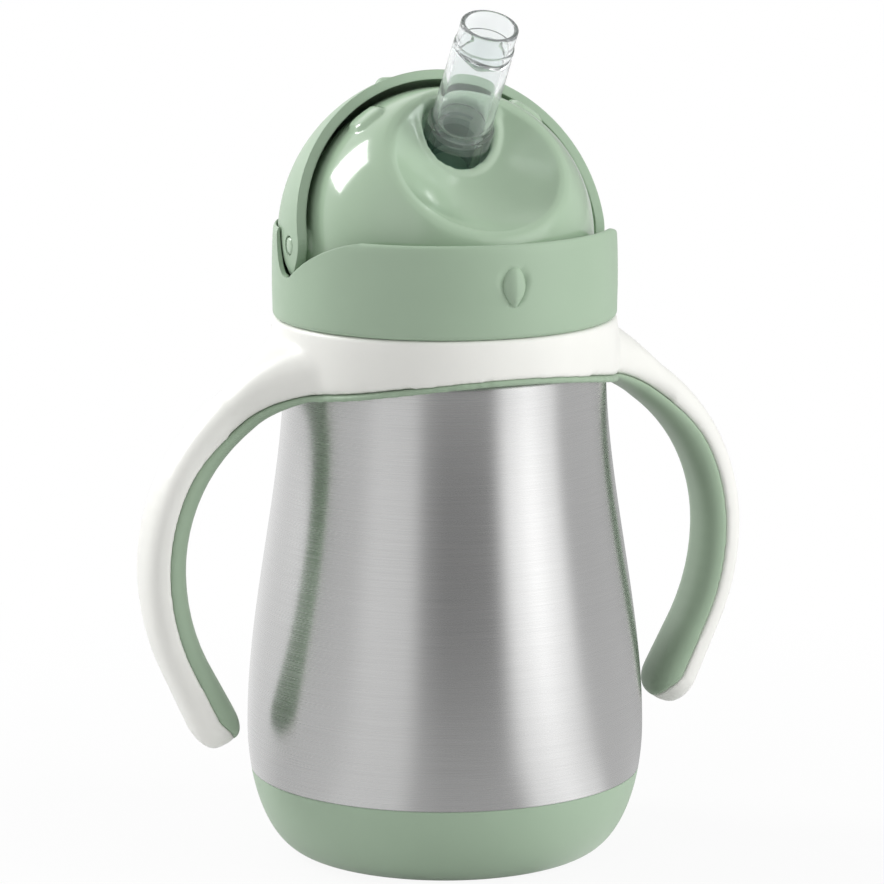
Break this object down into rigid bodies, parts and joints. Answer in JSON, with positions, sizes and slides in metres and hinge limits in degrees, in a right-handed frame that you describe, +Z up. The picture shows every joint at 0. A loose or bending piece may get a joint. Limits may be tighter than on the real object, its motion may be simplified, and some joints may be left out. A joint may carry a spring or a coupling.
{
  "type": "sippy cup",
  "caption": "Insulated steel sippy cup with clip-round side handles, a swing-over cover and a folding soft mouthpiece",
  "frame": {"origin": "centre of the base, on the table", "axes": "+Z up along the body's axis, -Y is the drinking side, the handles lie on +X and -X"},
  "size_m": [0.1262, 0.078, 0.1681],
  "materials": {
    "steel_outer": "brushed round the body",
    "steel_inner": "electropolished",
    "steel_base": "stamped",
    "boot_silicone": "matte silicone",
    "white_plastic": "satin moulded",
    "soft_grip": "soft-touch",
    "collar_plastic": "fine matte",
    "dome_plastic": "polished",
    "cover_plastic": "fine matte",
    "clear_silicone": "clear soft silicone",
    "clear_plastic": "clear moulded"
  },
  "bodies": {
    "vessel": {"outer_shell": "steel_outer", "inner_liner": "steel_inner", "shell_base": "steel_base", "base_boot": "boot_silicone"},
    "handles": {"handle_frame": "white_plastic", "handle_grip": "soft_grip"},
    "lid": {"lid_collar": "collar_plastic", "lid_dome": "dome_plastic", "lid_gasket": "clear_silicone", "vent_valve": "clear_silicone", "straw_adaptor": "clear_plastic", "lower_straw": "clear_silicone"},
    "cover": {"cover": "cover_plastic"},
    "mouthpiece": {"mouthpiece": "clear_silicone"}
  },
  "joints": [
    {"name": "handle_lift", "type": "slide", "parent": "vessel", "child": "handles", "axis": [0, 0, 1], "range_m": [0, 0.1]},
    {"name": "lid_lift", "type": "slide", "parent": "handles", "child": "lid", "axis": [0, 0, 1], "range_m": [0, 0.125]},
    {"name": "cover_pivot", "type": "hinge", "parent": "lid", "child": "cover", "pos_m": [0, 0, 0.1213], "axis": [1, 0, 0], "range_deg": [0, 96]},
    {"name": "mouthpiece_fold", "type": "hinge", "parent": "lid", "child": "mouthpiece", "pos_m": [0, -0.00579, 0.14097], "axis": [1, 0, 0], "range_deg": [0, 88], "deforming": ["mouthpiece"]}
  ],
  "couplings": [
    {"joint": "mouthpiece_fold", "follows": "cover_pivot", "ratio": 0.91}
  ]
}
